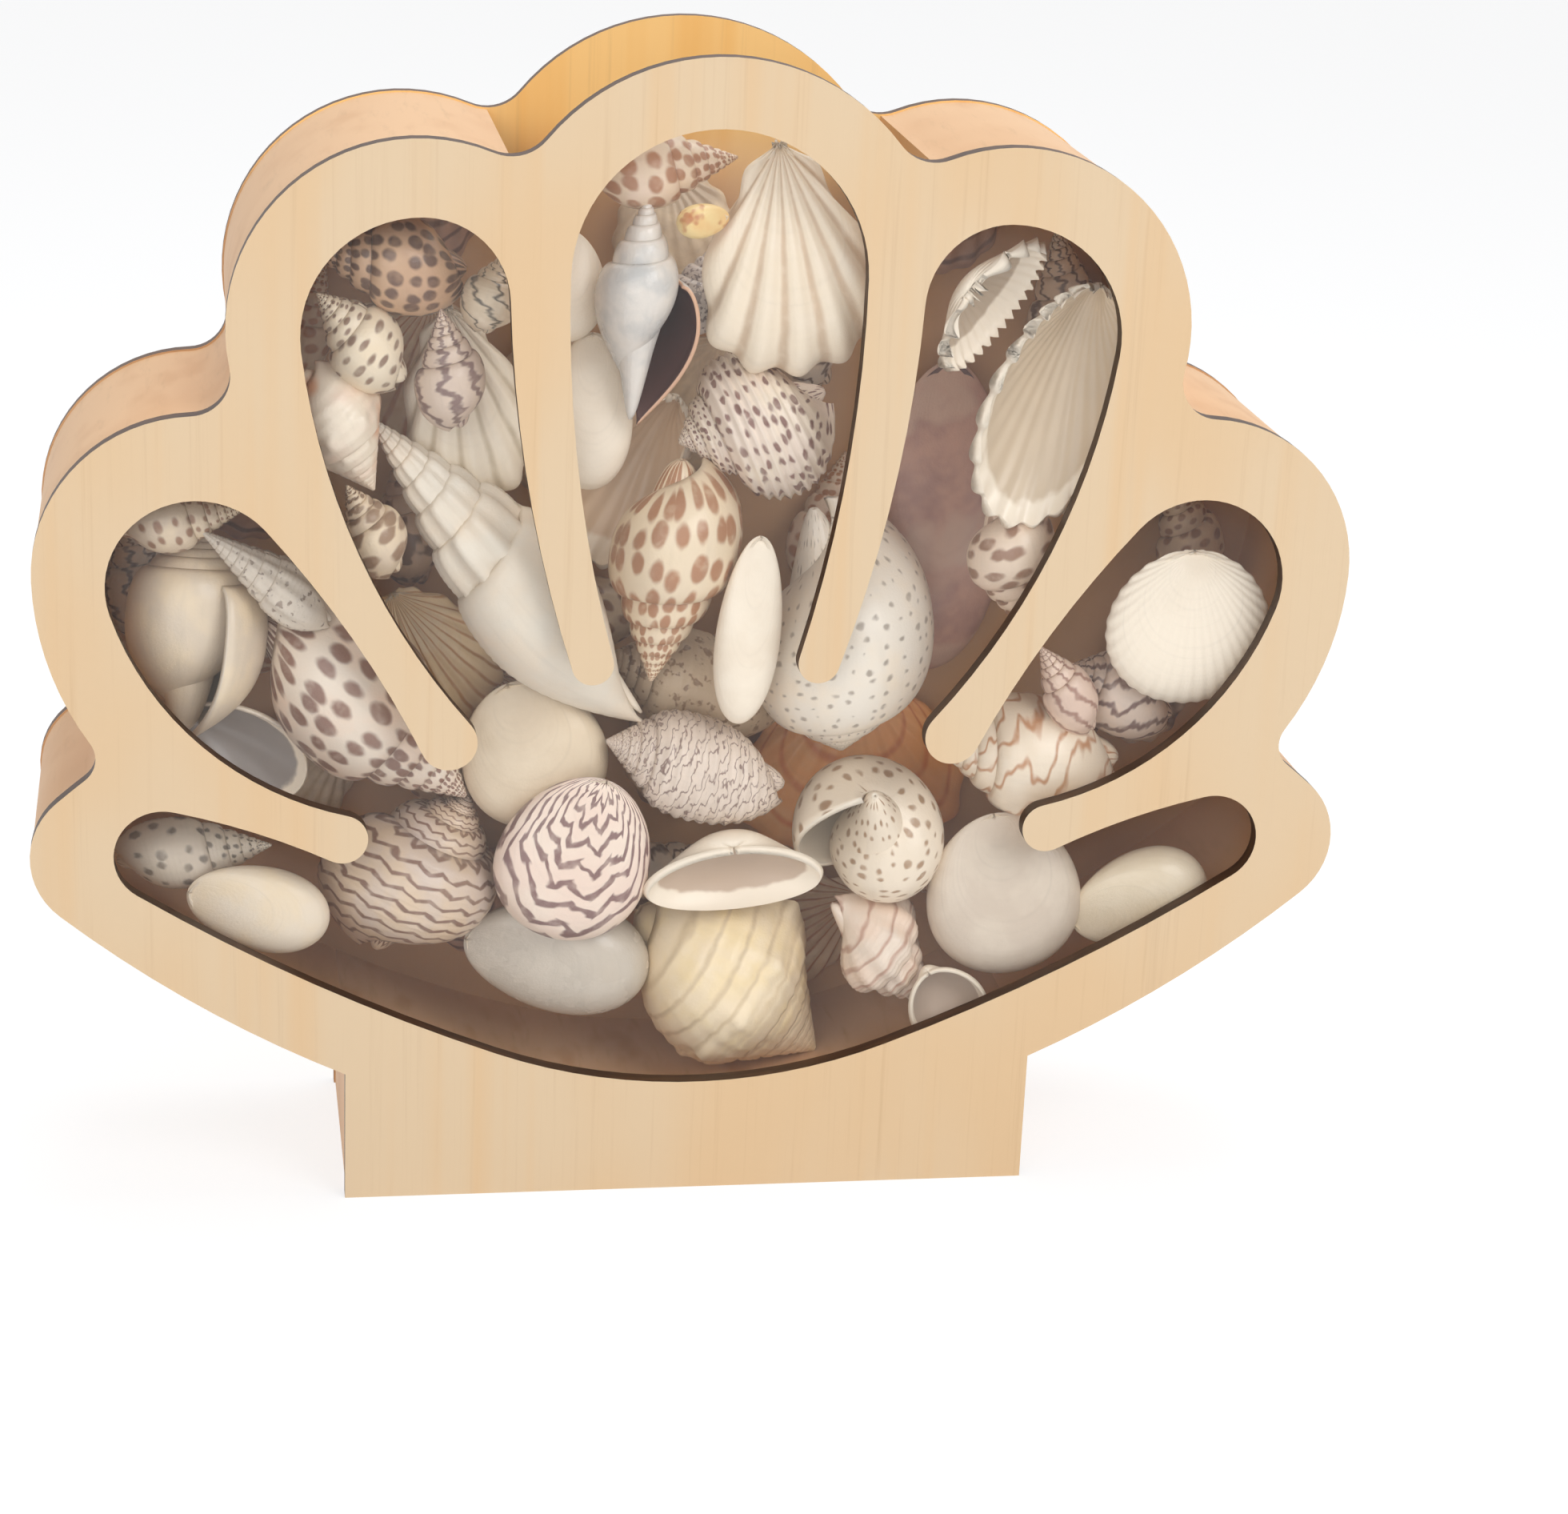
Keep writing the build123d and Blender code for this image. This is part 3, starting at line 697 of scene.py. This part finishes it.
# name: turn, lean, roll, then length, width, spire, form, lip flare, relief,
# then base, shade, mark, pattern and its settings, gloss, lining
coiled_shells = {
    "spotted_snail_top": (
        8, 0, 180, 34, 18, 0.38, "snail", 0, smooth,
        (240, 224, 204), rosy_white, orange_brown, spots, (10, 3.8, 0.38), 0.25, cream),
    "grey_whelk": (
        87, 0, -12, 48, 22, 0.30, "whelk", 0.12, smooth,
        (232, 232, 234), blue_grey, white, plain, (), 0.12, (92, 60, 56)),
    "mauve_snail_small": (
        70, 0, 180, 24, 14, 0.35, "snail", 0, corded,
        (218, 216, 218), (194, 190, 194), (140, 130, 134), specks, (900, 0.6), 0.35, white),
    "speckled_turban": (
        200, 0, 200, 34, 33, 0.22, "turban", 0, beaded,
        (242, 232, 226), white, (134, 84, 78), spots, (22, 10, 0.26, 0.3, 0.7), 0.35, white),
    "striped_snail_middle": (
        264, 0, 180, 51, 28, 0.38, "snail", 0, smooth,
        (240, 228, 208), cream, (190, 130, 88), spots, (19, 3.6, 0.38), 0.22, cream),
    "dark_snail": (
        172, 0, 180, 34, 21, 0.36, "snail", 0, smooth,
        (212, 180, 150), (198, 164, 138), dark_brown, spots, (17, 4.6, 0.38), 0.25, cream),
    "striped_cone": (
        75, 0, 180, 18, 13, 0.30, "snail", 0, corded,
        (208, 194, 174), white, (70, 60, 56), waves, (7, 2, 1.6, 0.26), 0.3, white),
    "dotted_snail": (
        135, 0, 160, 26, 17, 0.36, "snail", 0.05, smooth,
        (242, 234, 218), cream, (140, 104, 84), spots, (9, 5, 0.26), 0.3, cream),
    "banded_snail": (
        100, 0, 180, 26, 15, 0.38, "snail", 0, smooth,
        (222, 208, 198), (206, 190, 184), (136, 106, 106), waves, (7, 0.5, 1.6, 0.42), 0.3, white),
    "rosy_whelk": (
        300, 0, 180, 30, 20, 0.34, "snail", 0, lumpy,
        white, rosy_white, (240, 178, 134), specks, (50, 0.58), 0.25, cream),
    "long_spindle": (
        132, 0, 180, 90, 30, 0.40, "spindle", 0, stepped,
        (242, 240, 234), white, (214, 206, 190), plain, (), 0.35, white),
    "brown_snail_small": (
        120, 0, 180, 22, 14, 0.38, "snail", 0, smooth,
        (228, 214, 196), cream, (150, 116, 90), spots, (6, 3, 0.40, 0.3, 0.8), 0.3, cream),
    "spotted_snail_side": (
        10, 0, 180, 27, 14, 0.38, "snail", 0, smooth,
        (220, 206, 190), cream, brown, spots, (9, 4.5, 0.26), 0.28, cream),
    "grey_cerith": (
        144, 0, 180, 34, 13, 0.50, "cerith", 0, ribbed,
        (226, 220, 212), pale_grey, (156, 140, 130), specks, (600, 0.35), 0.4, cream),
    "cream_whelk": (
        84, -12, -66, 46, 30, 0.24, "barrel", 0.06, smooth,
        (228, 218, 204), cream, white, plain, (), 0.22, (206, 192, 170)),
    "brown_snail_large": (
        317, 0, 190, 61, 34, 0.34, "snail", 0, smooth,
        (238, 230, 222), rosy_white, (142, 96, 80), spots, (22, 4.6, 0.36, 0.16, 0.4), 0.2, cream),
    "grey_snail_ear": (
        5, 0, 180, 34, 16, 0.36, "snail", 0, corded,
        (224, 218, 208), (214, 206, 198), (122, 112, 104), spots, (11, 4, 0.22, 0.3, 0.7), 0.3, cream),
    "striped_turban": (
        60, 0, 180, 42, 38, 0.22, "turban", 0, corded,
        (226, 208, 188), (220, 208, 204), (138, 98, 82), zigzags, (16, 9, 0.8, 0.38), 0.25, cream),
    "speckled_cone": (
        165, 0, 180, 42, 24, 0.22, "snail", 0, beaded,
        (236, 226, 220), (222, 212, 206), (146, 118, 114), waves, (12, 14, 3.2, 0.30, 16.0), 0.32, white),
    "brown_cone_behind": (
        165, 0, 180, 42, 24, 0.22, "snail", 0, corded,
        (208, 190, 166), (216, 202, 182), (160, 130, 104), specks, (420, 0.5), 0.4, cream),
    "knobby_whelk": (
        320, 0, 190, 56, 45, 0.30, "snail", 0.05, knobby,
        (252, 240, 216), (250, 234, 194), (244, 226, 194), waves, (0, 6, 0.8, 0.3), 0.35, cream),
    "end_on_snail": (
        285, -38, 0, 34, 34, 0.18, "turban", 0, smooth,
        (242, 234, 222), white, (180, 144, 110), spots, (16, 9, 0.20, 0.2, 0.6), 0.2, (226, 220, 210)),
    "rosy_whelk_small": (
        314, 0, 170, 35, 23, 0.38, "whelk", 0.05, ribbed,
        (240, 230, 222), rosy_white, (214, 174, 158), waves, (0, 4, 1.0, 0.3), 0.3, cream),
    "moon_shell": (
        279, 0, 150, 58, 42, 0.14, "turban", 0.05, smooth,
        (242, 240, 236), white, (184, 174, 166), spots, (30, 12, 0.14, 0.3, 0.6), 0.25, cream),
    "orange_tip_snail": (
        285, 0, 180, 30, 20, 0.38, "snail", 0, smooth,
        (234, 220, 206), rosy_white, (160, 116, 90), spots, (8, 4, 0.32, 0.3, 0.8), 0.25, cream),
    "flame_snail": (
        175, 0, 180, 43, 28, 0.26, "snail", 0, smooth,
        (244, 234, 220), white, (210, 152, 108), waves, (8, 3, 3.4, 0.30, 4.0), 0.2, cream),
    "purple_cone": (
        155, 0, 180, 28, 18, 0.24, "snail", 0, smooth,
        (228, 216, 210), rosy_white, (124, 92, 90), waves, (9, 2, 1.8, 0.40), 0.25, cream),
    "pink_snail_small": (
        125, 0, 180, 24, 12, 0.35, "snail", 0, smooth,
        (226, 204, 194), rosy_white, (180, 136, 124), waves, (8, 1, 1.0, 0.34), 0.28, cream),
}
# The colour of the lip, where it isn't that of the outside
rims = {"grey_whelk": peach, "end_on_snail": chalk, "cream_whelk": white}

# name: turn, lean, then length, width, thickness, ribs, rib depth, taper to the beak,
# then base, shade, mark, pattern and its settings, gloss, lining
closed_valves = {
    "white_clam_behind_bar": (90, 0, 24, 18, 12, 0, 0, 0.12, chalk, white, cream, plain, (), 0.3, white),
    "white_clam_tall": (90, 0, 34, 18, 12, 0, 0, 0.12, chalk, white, cream, plain, (), 0.3, white),
    "round_cream_clam": (
        110, 0, 34, 32, 15, 0, 0, 0.12,
        (230, 218, 198), (238, 228, 210), cream, plain, (), 0.3, cream),
    "zigzag_clam": (
        70, 0, 38, 34, 16, 0, 0, 0.12,
        (244, 228, 222), (248, 238, 232), (126, 86, 90), zigzags, (8, 8, 1.3, 0.44), 0.25, white),
    "smooth_grey_clam": (
        168, 0, 42, 26, 20, 0, 0, 0.12,
        (208, 204, 198), (218, 214, 208), white, plain, (), 0.15, white),
    "purple_clam": (
        88, 0, 72, 32, 14, 0, 0, 0.10,
        (214, 174, 162), (186, 148, 142), (238, 208, 194), specks, (46, 0.6), 0.25, purple_brown),
    "grey_clam": (
        100, 0, 38, 35, 18, 0, 0, 0.12,
        (214, 204, 194), (224, 216, 206), white, plain, (), 0.22, white),
    "oval_cream_clam": (
        200, 0, 32, 22, 14, 0, 0, 0.12,
        (232, 222, 202), (240, 232, 216), cream, plain, (), 0.2, cream),
    "white_disc": (90, 0, 35, 37, 10, 34, 0.16, 0.05, chalk, chalk, white, plain, (), 0.45, white),
    "cream_clam_ear": (
        165, 0, 31, 19, 10, 0, 0, 0.12,
        (240, 232, 220), cream, white, plain, (), 0.25, white),
    "yellow_clam_small": (
        10, 0, 11, 7, 7, 0, 0, 0.12,
        (240, 218, 160), (230, 170, 100), (206, 124, 66), specks, (200, 0.5), 0.3, cream),
    "crescent_valve": (85, 0, 42, 14, 9, 0, 0, 0.12, chalk, white, cream, plain, (), 0.25, white),
    "tall_cockle": (
        97, 0, 50, 37, 19, 15, 1.1, 0.48,
        (244, 236, 222), white, (222, 200, 176), waves, (15, 0, 0.15, 0.34), 0.4, white),
    "grey_cockle": (
        100, 0, 44, 28, 16, 15, 0.8, 0.35,
        (246, 242, 232), (248, 244, 236), (226, 216, 196), waves, (15, 0, 0.15, 0.3), 0.4, white),
    "tan_cockle": (
        120, 0, 34, 30, 12, 17, 0.6, 0.3,
        (250, 228, 188), (252, 238, 212), (222, 168, 112), waves, (26, 0, 0.3, 0.34), 0.4, cream),
    "orange_scallop": (
        90, 0, 46, 54, 12, 15, 0.7, 0.3,
        (255, 188, 120), (255, 202, 142), (250, 158, 94), waves, (0, 5, 0.6, 0.3), 0.45, peach),
}

# name: turn, lean, then length, width, height, ribs, crimp of the margin, wall, lip,
# share of the margin that is chalky, then base, shade, gloss, lining
open_valves = {
    "crenulated_valve": (60, 0, 44, 24, 10, 22, 1.0, 1.2, 2.2, 0.14, chalk, white, 0.45, (238, 218, 196)),
    "inside_valve": (95, 20, 20, 40, 10, 0, 0, 1.2, 0.6, 0.14, chalk, white, 0.3, (214, 196, 180)),
    "serrated_valve": (72, 0, 56, 30, 12, 32, 0.8, 1.2, 2.4, 0.09, chalk, white, 0.45, (228, 214, 194)),
    "crimped_valve": (145, 40, 20, 34, 8, 24, 0.8, 1.2, 2.8, 0.22, chalk, white, 0.45, (206, 192, 176)),
    "glassy_valve": (150, 0, 32, 20, 8, 0, 0, 0.8, 0.3, 0.07, white, pale_grey, 0.12, (170, 166, 168)),
    "broken_valve": (120, 0, 20, 18, 7, 0, 0, 0.9, 0.3, 0.10, white, white, 0.25, (206, 192, 182)),
}

# The small shells against the back panel: (x, z), turn, then length, width, spire for the
# snails, and length, width, thickness for the clams.
snails_behind = [
    ((-33, 233), 200, 28, 14, 0.42),
    ((28, 196), 120, 30, 15, 0.40),
    ((-92, 196), 70, 32, 16, 0.40),
    ((-64, 150), 100, 32, 16, 0.38),
    ((-22, 126), 210, 34, 17, 0.38),
    ((-128, 138), 95, 32, 16, 0.40),
    ((-98, 124), 60, 30, 15, 0.40),
    ((-124, 84), 170, 26, 14, 0.40),
    ((-60, 92), 130, 34, 17, 0.40),
    ((0, 58), 20, 34, 17, 0.38),
    ((80, 56), 190, 32, 16, 0.40),
    ((96, 89), 40, 32, 16, 0.40),
    ((128, 146), 110, 32, 16, 0.40),
    ((92, 204), 100, 34, 17, 0.40),
    ((36, 150), 80, 32, 16, 0.40),
]
clams_behind = [
    ((-2, 218), 100, 32, 28, 13),
    ((-64, 226), 60, 34, 30, 13),
    ((-62, 186), 80, 34, 28, 12),
    ((-30, 176), 95, 38, 28, 12),
    ((4, 178), 70, 32, 28, 13),
    ((-100, 162), 50, 34, 28, 13),
    ((-36, 96), 120, 34, 28, 12),
    ((4, 92), 100, 34, 28, 13),
    ((-92, 84), 40, 32, 26, 12),
    ((-48, 52), 160, 36, 26, 13),
    ((34, 42), 30, 34, 26, 13),
    ((119, 106), 80, 28, 22, 12),
    ((104, 164), 120, 34, 28, 13),
    ((60, 228), 70, 34, 30, 13),
]
# Their looks, used in turn: base, shade, mark, pattern and its settings
snail_looks = [
    ((214, 196, 176), cream, brown, spots, (10, 5, 0.30)),
    ((222, 206, 188), pale_grey, dark_brown, waves, (8, 1, 1.8, 0.36)),
    ((220, 206, 190), rosy_white, orange_brown, spots, (9, 4, 0.32)),
    ((206, 180, 156), (184, 154, 134), (120, 88, 70), specks, (160, 0.6)),
]
clam_looks = [
    ((206, 190, 170), cream, brown, plain, ()),
    ((188, 154, 138), (164, 134, 124), purple_brown, waves, (0, 7, 0.5, 0.4)),
    ((222, 208, 186), (204, 178, 150), orange_brown, waves, (20, 0, 0.4, 0.36)),
    ((204, 184, 166), (222, 208, 192), purple_brown, specks, (90, 0.5)),
]
# How the growth lines stretch over a shell's grid
coiled_lines = (34, 1.2, 1)
valve_lines = (1.5, 26, 1)
window_gap = 0.3
rest_gap = 0.4
# How much larger a shell is drawn than its solid, to close the gaps as in the photograph
swell = 1.08
closed_valve_wall = 1.0
valve_taper = 0.12
open_rib_depth = 0.2
behind_roll = 180
behind_ribs, behind_rib_depth = 17, 0.4
snail_gloss, clam_gloss = 0.3, 0.35
inside_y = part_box("clear_window")[1].y / mm
back_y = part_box("back_panel")[0].y / mm


def shell_axes(turn, lean):
    """The shell's own axes in the case: X along it, turned as the viewer sees it, Z to the viewer."""
    across, towards = cos(radians(lean)), sin(radians(lean))
    ahead_x, ahead_z = cos(radians(turn)), sin(radians(turn))
    along = np.array([across * ahead_x, -towards, across * ahead_z])
    facing = np.array([-towards * ahead_x, -across, -towards * ahead_z])
    return np.stack([along, np.cross(facing, along), facing])


def fitted(points, sizes, turn, lean):
    """The points scaled to sizes and turned, about their own middle."""
    low, high = points.min(axis=0), points.max(axis=0)
    scaled = (points - (low + high) / 2) * (np.array(sizes) / (high - low)) * swell
    turned = scaled @ shell_axes(turn, lean)
    return turned - (turned.min(axis=0) + turned.max(axis=0)) / 2


def node_middle(name):
    """The middle of a CAD node, in millimetres."""
    low, high = (np.array(corner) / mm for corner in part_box(name))
    return (low + high) / 2


def add_shell(piece, node, mesh, points, materials):
    """Puts a grown mesh with its placed points, in millimetres, in the place of a CAD node."""
    points[:, 1] += max(inside_y + window_gap - points[:, 1].min(), 0)
    mesh.vertices.foreach_set("co", (points * mm).ravel())
    mesh.update()
    for material in materials:
        mesh.materials.append(material)
    shell = bpy.data.objects.new(piece, mesh)
    bpy.context.scene.collection.objects.link(shell)
    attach(shell, body)
    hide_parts(node)


def mesh_points(mesh):
    """The mesh's vertices as rows of X, Y and Z."""
    points = np.empty(len(mesh.vertices) * 3)
    mesh.vertices.foreach_get("co", points)
    return points.reshape(-1, 3)


def add_coiled_shells():
    """Each coiled shell in the middle of its CAD node."""
    for name, entry in coiled_shells.items():
        turn, lean, roll, length, width, spire, form_name, lip, bumps = entry[:9]
        base, shade, mark, pattern, settings, gloss, lining = entry[9:]
        mesh = coiled_mesh(name, form_name, length, width, spire, roll, lip, bumps)
        outside = shell_material(name, base, shade, mark, pattern, settings, coiled_lines, gloss)
        inside = lining_material(name + "_lining", lining)
        rim = lining_material(name + "_rim", rims[name]) if name in rims else outside
        points = fitted(mesh_points(mesh), (length, width, width), turn, lean) + node_middle(name)
        add_shell(name + "_shell", name, mesh, points, (outside, inside, rim))


def add_closed_valves():
    """Each closed shell as two plump valves, in the middle of its CAD node."""
    for name, entry in closed_valves.items():
        turn, lean, length, width, thickness, ribs, rib_depth, taper = entry[:8]
        base, shade, mark, pattern, settings, gloss, lining = entry[8:]
        half = valve_sheet(
            length, width, thickness / 2, taper, ribs, rib_depth, closed_valve_wall, plump=True
        )
        mesh = make_mesh(name, [half, flipped(half)])
        outside = shell_material(name, base, shade, mark, pattern, settings, valve_lines, gloss)
        inside = lining_material(name + "_lining", lining)
        points = fitted(mesh_points(mesh), (length, width, thickness), turn, lean) + node_middle(name)
        add_shell(name + "_shell", name, mesh, points, (outside, inside, outside))


def add_open_valves():
    """Each single valve with its hollow to the viewer, in the middle of its CAD node."""
    for name, entry in open_valves.items():
        turn, lean, length, width, height, ribs, crimp, wall, lip, margin = entry[:10]
        base, shade, gloss, lining = entry[10:]
        rib_depth = open_rib_depth if ribs else 0.0
        half = valve_sheet(length, width, height, valve_taper, ribs, rib_depth, wall, crimp, lip)
        mesh = make_mesh(name, [flipped(half)])
        outside = shell_material(name, base, shade, base, plain, (), valve_lines, gloss)
        inside = lining_material(name + "_lining", lining, margin)
        points = fitted(mesh_points(mesh), (length, width, height), turn, lean) + node_middle(name)
        add_shell(name + "_shell", name, mesh, points, (outside, inside, outside))


def seated_behind(points, at):
    """The points moved to (x, z) and back until they lie against the back panel."""
    depth = points[:, 1].max()
    return points + np.array([at[0], back_y - rest_gap - depth, at[1]])


def add_shells_behind():
    """The two groups of small shells, each shell a piece of its own with the looks in turn."""
    for index, (at, turn, length, width, spire) in enumerate(snails_behind):
        piece = f"snail_behind_{index + 1}"
        look = snail_looks[index % len(snail_looks)]
        mesh = coiled_mesh(piece, "snail", length, width, spire, behind_roll, 0, smooth)
        outside = shell_material(piece, *look, coiled_lines, snail_gloss)
        points = seated_behind(fitted(mesh_points(mesh), (length, width, width), turn, 0), at)
        add_shell(piece, "snails_behind", mesh, points, (outside, outside, outside))
    for index, (at, turn, length, width, thickness) in enumerate(clams_behind):
        piece = f"clam_behind_{index + 1}"
        look = clam_looks[index % len(clam_looks)]
        sizes = (length, width, thickness)
        ribs = (behind_ribs, behind_rib_depth)
        half = valve_sheet(
            length, width, thickness / 2, valve_taper, *ribs, closed_valve_wall, plump=True
        )
        mesh = make_mesh(piece, [half, flipped(half)])
        outside = shell_material(piece, *look, valve_lines, clam_gloss)
        points = seated_behind(fitted(mesh_points(mesh), sizes, turn, 0), at)
        add_shell(piece, "clams_behind", mesh, points, (outside, outside, outside))


# ---------------------------------------------------------------- floor and light
floor_half = 6.0
floor_colour = (0.86, 0.87, 0.89, 1)
floor_roughness = 0.9
# To the camera the floor glows for a share of its brightness, so it runs on white
floor_glow, floor_glow_share = 1.24, 0.60
# The surround is full white to the camera and through the clear sheet, and dimmer as light
surround_lit, surround_seen = 0.48, 1.0
lamps_middle = (0, 0, 0.13)
# name: place in metres, size in metres, power in watts
lamps = {
    "key_lamp": ((0.75, -1.2, 1.15), 0.9, 9.5),
    "fill_lamp": ((-0.7, -1.5, 0.7), 1.2, 7),
    "top_lamp": ((0.1, 0.25, 1.3), 0.8, 5),
}


def add_floor():
    """A pale floor that runs on behind the case, white to the camera but for its shadows."""
    paint = Shader("floor")
    rays = paint.node("LightPath")
    seen = paint.maths("MAXIMUM", rays.outputs["Is Camera Ray"], rays.outputs["Is Glossy Ray"])
    seen = paint.maths("MAXIMUM", seen, rays.outputs["Is Transmission Ray"])
    paint.finish({"Base Color": floor_colour, "Roughness": floor_roughness})
    glow = paint.node("Emission", {"Color": (1, 1, 1, 1), "Strength": floor_glow})
    share = paint.maths("MULTIPLY", seen, floor_glow_share)
    blend = paint.node("MixShader", {0: share, 1: paint.surface.outputs[0], 2: glow.outputs[0]})
    paint.set(paint.tree.nodes["Material Output"], {"Surface": blend.outputs[0]})
    mesh = bpy.data.meshes.new("floor")
    signs = [(-1, -1), (1, -1), (1, 1), (-1, 1)]
    corners = [(across * floor_half, ahead * floor_half, 0) for across, ahead in signs]
    mesh.from_pydata(corners, [], [(0, 1, 2, 3)])
    mesh.materials.append(paint.material)
    floor = bpy.data.objects.new("floor", mesh)
    bpy.context.scene.collection.objects.link(floor)


def add_lamp(name, place, size, power):
    """A square soft lamp that looks at the middle of the case."""
    data = bpy.data.lights.new(name, "AREA")
    data.size = size
    data.energy = power
    lamp = bpy.data.objects.new(name, data)
    lamp.location = place
    aim = Vector(lamps_middle) - Vector(place)
    lamp.rotation_mode = "QUATERNION"
    lamp.rotation_quaternion = aim.to_track_quat("-Z", "Y")
    bpy.context.scene.collection.objects.link(lamp)


def add_light():
    """Soft studio light from the front and above, stronger on the right, and a white surround."""
    world = bpy.data.worlds.new("surround")
    world.use_nodes = True
    tree = world.node_tree
    background = tree.nodes["Background"]
    rays = tree.nodes.new("ShaderNodeLightPath")
    strength = tree.nodes.new("ShaderNodeMapRange")
    seen = rays.outputs["Is Camera Ray"]
    for kind in ("Is Glossy Ray", "Is Transmission Ray"):
        either = tree.nodes.new("ShaderNodeMath")
        either.operation = "MAXIMUM"
        tree.links.new(seen, either.inputs[0])
        tree.links.new(rays.outputs[kind], either.inputs[1])
        seen = either.outputs[0]
    tree.links.new(seen, strength.inputs["Value"])
    strength.inputs["To Min"].default_value = surround_lit
    strength.inputs["To Max"].default_value = surround_seen
    tree.links.new(strength.outputs["Result"], background.inputs["Strength"])
    background.inputs["Color"].default_value = (1, 1, 1, 1)
    bpy.context.scene.world = world
    for name, settings in lamps.items():
        add_lamp(name, *settings)


bpy.context.scene.view_settings.view_transform = "Standard"
add_camera()
dress_case()
add_coiled_shells()
add_closed_valves()
add_open_valves()
add_shells_behind()
add_floor()
add_light()
